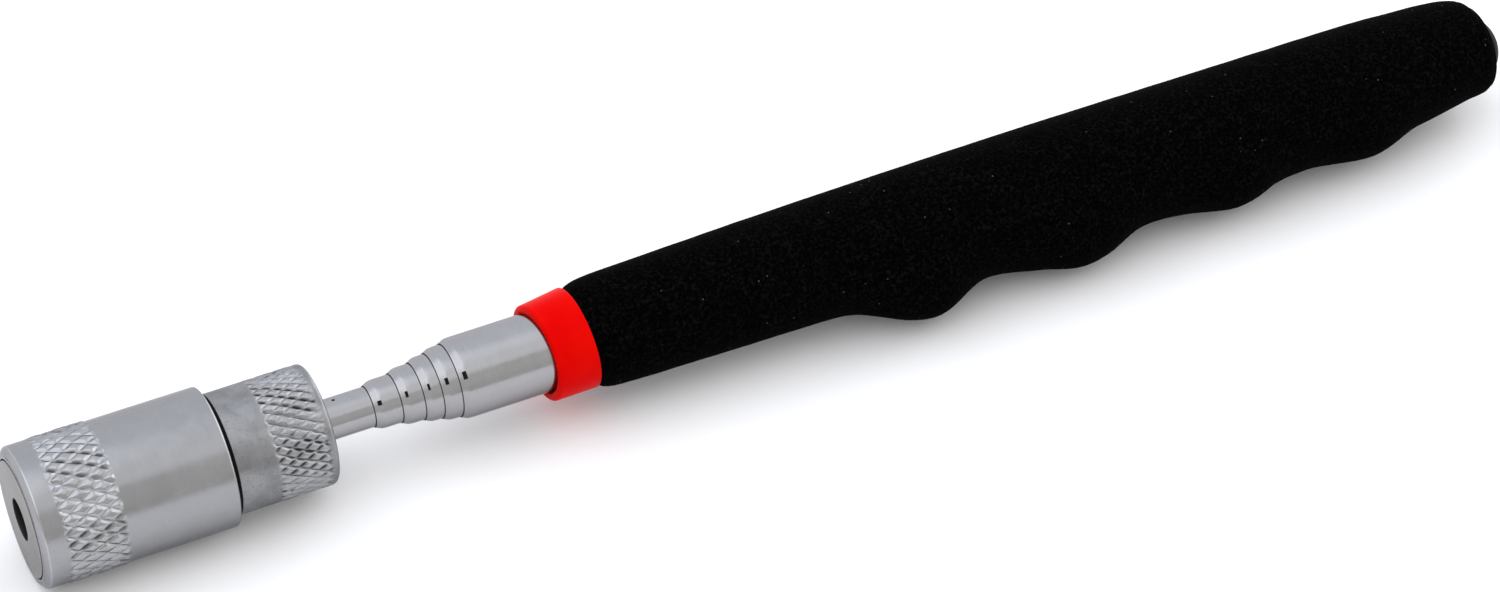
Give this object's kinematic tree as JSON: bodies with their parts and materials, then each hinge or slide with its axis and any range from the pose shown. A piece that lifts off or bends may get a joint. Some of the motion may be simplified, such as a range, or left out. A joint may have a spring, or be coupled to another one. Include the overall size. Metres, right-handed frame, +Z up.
{
  "type": "telescoping magnetic pick-up tool",
  "caption": "Closed telescoping pick-up tool: ring magnet and lamp in a knurled head, stepped chromed rod, red collar, and a black foam grip with finger ridges.",
  "frame": {"origin": "middle of the closed tool's bounding box, on the surface it lies on", "axes": "+X along the rod from the magnet to the end of the grip, +Z up; the finger ridges point 25 degrees below -Y"},
  "size_m": [0.1976, 0.0198, 0.0175],
  "materials": {
    "chromed_head": "satin",
    "chromed_rod": "polished",
    "magnet": "satin",
    "lamp_lens": "gloss",
    "insulator": "matte",
    "cell_steel": "satin",
    "cell_sleeve": "satin",
    "contact_brass": "satin",
    "plain_steel": "satin",
    "red_plastic": "gloss",
    "black_foam": "matte",
    "black_plastic": "gloss"
  },
  "bodies": {
    "grip": {"tube_6": "chromed_rod", "collar": "red_plastic", "foam_grip": "black_foam", "end_plug": "black_plastic"},
    "slider_5": {"friction_bush_5": "contact_brass"},
    "section_5": {"tube_5": "chromed_rod"},
    "slider_4": {"friction_bush_4": "contact_brass"},
    "section_4": {"tube_4": "chromed_rod"},
    "slider_3": {"friction_bush_3": "contact_brass"},
    "section_3": {"tube_3": "chromed_rod"},
    "slider_2": {"friction_bush_2": "contact_brass"},
    "section_2": {"tube_2": "chromed_rod"},
    "slider_1": {"friction_bush_1": "contact_brass"},
    "section_1": {"tube_1": "chromed_rod", "rod_tip_plug": "contact_brass", "head_screw": "plain_steel", "rear_cap": "chromed_head", "contact_spring": "plain_steel"},
    "battery_pack": {"led": "lamp_lens", "led_holder": "insulator", "contact_pin": "contact_brass", "button_cell_1": "cell_steel", "button_cell_2": "cell_steel", "button_cell_3": "cell_steel", "button_cell_4": "cell_steel", "battery_sleeve": "cell_sleeve"},
    "head": {"head_shell": "chromed_head", "ring_magnet": "magnet"}
  },
  "joints": [
    {"name": "extend_5", "type": "slide", "parent": "grip", "child": "slider_5", "axis": [-1, 0, 0], "range_m": [0, 0.1243]},
    {"name": "spin_5", "type": "hinge", "parent": "slider_5", "child": "section_5", "pos_m": [0, 0.00116, 0.00875], "axis": [1, 0, 0], "continuous": true},
    {"name": "extend_4", "type": "slide", "parent": "section_5", "child": "slider_4", "axis": [-1, 0, 0], "range_m": [0, 0.12]},
    {"name": "spin_4", "type": "hinge", "parent": "slider_4", "child": "section_4", "pos_m": [0, 0.00116, 0.00875], "axis": [1, 0, 0], "continuous": true},
    {"name": "extend_3", "type": "slide", "parent": "section_4", "child": "slider_3", "axis": [-1, 0, 0], "range_m": [0, 0.11565]},
    {"name": "spin_3", "type": "hinge", "parent": "slider_3", "child": "section_3", "pos_m": [0, 0.00116, 0.00875], "axis": [1, 0, 0], "continuous": true},
    {"name": "extend_2", "type": "slide", "parent": "section_3", "child": "slider_2", "axis": [-1, 0, 0], "range_m": [0, 0.1118]},
    {"name": "spin_2", "type": "hinge", "parent": "slider_2", "child": "section_2", "pos_m": [0, 0.00116, 0.00875], "axis": [1, 0, 0], "continuous": true},
    {"name": "extend_1", "type": "slide", "parent": "section_2", "child": "slider_1", "axis": [-1, 0, 0], "range_m": [0, 0.10865]},
    {"name": "spin_1", "type": "hinge", "parent": "slider_1", "child": "section_1", "pos_m": [0, 0.00116, 0.00875], "axis": [1, 0, 0], "continuous": true},
    {"name": "head_advance", "type": "slide", "parent": "section_1", "child": "battery_pack", "axis": [1, 0, 0], "range_m": [-0.0061, 0.0003], "deforming": ["contact_spring"]},
    {"name": "head_twist", "type": "hinge", "parent": "battery_pack", "child": "head", "pos_m": [-0.08, 0.00116, 0.00875], "axis": [1, 0, 0], "range_deg": [-2160, 90]}
  ],
  "couplings": [
    {"joint": "head_advance", "follows": "head_twist", "m_per_rad": 0.00015915}
  ]
}
